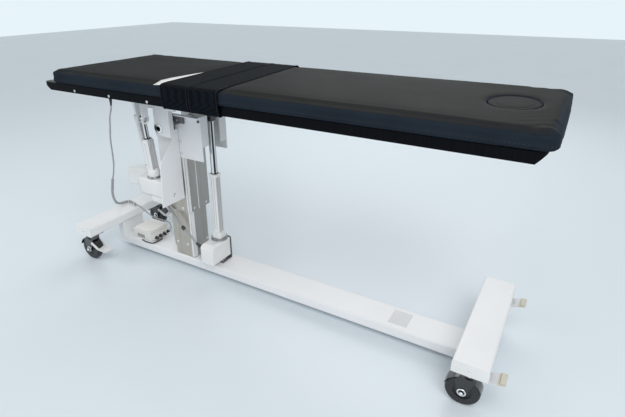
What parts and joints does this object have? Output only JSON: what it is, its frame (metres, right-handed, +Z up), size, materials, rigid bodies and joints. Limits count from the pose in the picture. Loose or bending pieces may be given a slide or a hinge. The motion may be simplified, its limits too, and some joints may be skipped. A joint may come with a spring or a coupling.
{
  "type": "radiography table",
  "caption": "Mobile radiography table with a padded radiolucent tray on a column that lifts, tilts and rolls, and a low floor frame on braked casters.",
  "frame": {"origin": "on the floor under the middle of the table, with its column raised as pictured", "axes": "+Z up, +X to the foot end of the table, away from the column, +Y to the far side"},
  "size_m": [2.2073, 0.6756, 1.0428],
  "materials": {
    "white_paint": "satin powder coat",
    "white_plastic": "smooth, slightly glossy",
    "white_tube": "painted, satin",
    "cream_plastic": "fine matt",
    "brushed": "brushed along its length",
    "dark_metal": "satin",
    "clevis_metal": "satin black",
    "chrome": "polished",
    "black_plastic": "glossy",
    "cable_sheath": "satin",
    "carbon": "high gloss",
    "pad_cover": "coated cloth, low sheen",
    "strap_mesh": "woven mesh",
    "tyre": "smooth, slightly glossy",
    "pedal_beige": "fine matt"
  },
  "bodies": {
    "base": {"base_beam": "white_paint", "risers": "white_paint", "head_crossbar": "white_paint", "foot_crossbar": "white_paint", "crossbar_caps": "white_plastic", "caster_heads": "dark_metal", "column_post": "brushed", "post_screws": "chrome", "control_box": "cream_plastic", "control_box_lid": "cream_plastic", "lift_bracket": "dark_metal", "lift_motor": "white_plastic", "lift_ring": "chrome", "lift_collar": "white_plastic", "lift_tube": "white_tube", "lift_gland": "black_plastic", "motor_cable": "cable_sheath", "cable_plug": "black_plastic", "cable_low": "cable_sheath"},
    "carriage": {"sleeve": "brushed", "cable_clip": "black_plastic", "slide_pads": "black_plastic", "sleeve_screws": "chrome", "sleeve_cover": "white_paint", "arm_plates": "white_paint", "bearings": "dark_metal", "lift_rod": "chrome", "lift_clevis": "clevis_metal", "tilt_arm": "white_paint", "cable_mid": "cable_sheath"},
    "tilt_cylinder": {"tilt_motor": "white_plastic", "tilt_tube": "white_tube"},
    "tilt_piston": {"tilt_rod": "chrome"},
    "yoke_body": {"yoke": "white_paint", "tilt_shaft": "chrome", "roll_hanger": "white_paint", "pillow_blocks": "dark_metal"},
    "roll_cylinder": {"roll_motor": "white_plastic", "roll_tube": "white_tube"},
    "roll_piston": {"roll_rod": "chrome"},
    "table_top": {"roll_frame": "dark_metal", "roll_shaft": "chrome", "tray": "carbon", "tray_studs": "chrome", "mattress": "pad_cover", "face_plug": "pad_cover", "straps": "strap_mesh", "cable_top": "cable_sheath"},
    "fork_head_near": {"fork_head_near": "black_plastic"},
    "wheel_head_near": {"wheel_head_near": "tyre"},
    "pedal_head_near": {"pedal_head_near": "pedal_beige"},
    "fork_head_far": {"fork_head_far": "black_plastic"},
    "wheel_head_far": {"wheel_head_far": "tyre"},
    "pedal_head_far": {"pedal_head_far": "pedal_beige"},
    "fork_foot_near": {"fork_foot_near": "black_plastic"},
    "wheel_foot_near": {"wheel_foot_near": "tyre"},
    "pedal_foot_near": {"pedal_foot_near": "pedal_beige"},
    "fork_foot_far": {"fork_foot_far": "black_plastic"},
    "wheel_foot_far": {"wheel_foot_far": "tyre"},
    "pedal_foot_far": {"pedal_foot_far": "pedal_beige"}
  },
  "joints": [
    {"name": "lift", "type": "slide", "parent": "base", "child": "carriage", "axis": [0, 0, 1], "range_m": [-0.24, 0], "deforming": ["cable_low", "motor_cable", "cable_plug"]},
    {"name": "tilt", "type": "hinge", "parent": "carriage", "child": "yoke_body", "pos_m": [-0.5235, 0, 0.785], "axis": [0, -1, 0], "range_deg": [-15, 12], "deforming": ["cable_mid"]},
    {"name": "tilt_swing", "type": "hinge", "parent": "carriage", "child": "tilt_cylinder", "pos_m": [-0.761, 0, 0.44], "axis": [0, -1, 0], "range_deg": [-5, 5]},
    {"name": "tilt_extend", "type": "slide", "parent": "tilt_cylinder", "child": "tilt_piston", "axis": [-0.1569, 0, 0.9876], "range_m": [-0.065, 0.08]},
    {"name": "roll", "type": "hinge", "parent": "yoke_body", "child": "table_top", "pos_m": [-0.5235, 0, 0.918], "axis": [1, 0, 0], "range_deg": [-15, 15], "deforming": ["cable_top"]},
    {"name": "roll_swing", "type": "hinge", "parent": "yoke_body", "child": "roll_cylinder", "pos_m": [-0.573, -0.15, 0.47], "axis": [1, 0, 0], "range_deg": [-3.5, 3.5]},
    {"name": "roll_extend", "type": "slide", "parent": "roll_cylinder", "child": "roll_piston", "axis": [0, -0.0765, 0.9971], "range_m": [-0.05, 0.05]},
    {"name": "swivel_head_near", "type": "hinge", "parent": "base", "child": "fork_head_near", "pos_m": [-1.0225, -0.25, 0.14], "axis": [0, 0, 1], "continuous": true},
    {"name": "spin_head_near", "type": "hinge", "parent": "fork_head_near", "child": "wheel_head_near", "pos_m": [-1.0385, -0.25, 0.0625], "axis": [0, 1, 0], "continuous": true},
    {"name": "brake_head_near", "type": "hinge", "parent": "fork_head_near", "child": "pedal_head_near", "pos_m": [-1.0025, -0.25, 0.108], "axis": [0, 1, 0], "range_deg": [0, 12]},
    {"name": "swivel_head_far", "type": "hinge", "parent": "base", "child": "fork_head_far", "pos_m": [-1.0225, 0.25, 0.14], "axis": [0, 0, 1], "continuous": true},
    {"name": "spin_head_far", "type": "hinge", "parent": "fork_head_far", "child": "wheel_head_far", "pos_m": [-1.0385, 0.25, 0.0625], "axis": [0, 1, 0], "continuous": true},
    {"name": "brake_head_far", "type": "hinge", "parent": "fork_head_far", "child": "pedal_head_far", "pos_m": [-1.0025, 0.25, 0.108], "axis": [0, 1, 0], "range_deg": [0, 12]},
    {"name": "swivel_foot_near", "type": "hinge", "parent": "base", "child": "fork_foot_near", "pos_m": [0.989, -0.25, 0.14], "axis": [0, 0, 1], "continuous": true},
    {"name": "spin_foot_near", "type": "hinge", "parent": "fork_foot_near", "child": "wheel_foot_near", "pos_m": [0.973, -0.25, 0.0625], "axis": [0, 1, 0], "continuous": true},
    {"name": "brake_foot_near", "type": "hinge", "parent": "base", "child": "pedal_foot_near", "pos_m": [0.989, -0.25, 0.151], "axis": [0, 1, 0], "range_deg": [0, 14]},
    {"name": "swivel_foot_far", "type": "hinge", "parent": "base", "child": "fork_foot_far", "pos_m": [0.989, 0.25, 0.14], "axis": [0, 0, 1], "continuous": true},
    {"name": "spin_foot_far", "type": "hinge", "parent": "fork_foot_far", "child": "wheel_foot_far", "pos_m": [0.973, 0.25, 0.0625], "axis": [0, 1, 0], "continuous": true},
    {"name": "brake_foot_far", "type": "hinge", "parent": "base", "child": "pedal_foot_far", "pos_m": [0.989, 0.25, 0.151], "axis": [0, 1, 0], "range_deg": [0, 14]}
  ],
  "couplings": [
    {"joint": "tilt_swing", "follows": "tilt", "ratio": 0.30638},
    {"joint": "tilt_extend", "follows": "tilt", "m_per_rad": -0.28455},
    {"joint": "roll_swing", "follows": "roll", "ratio": -0.19399},
    {"joint": "roll_extend", "follows": "roll", "m_per_rad": -0.18161}
  ]
}
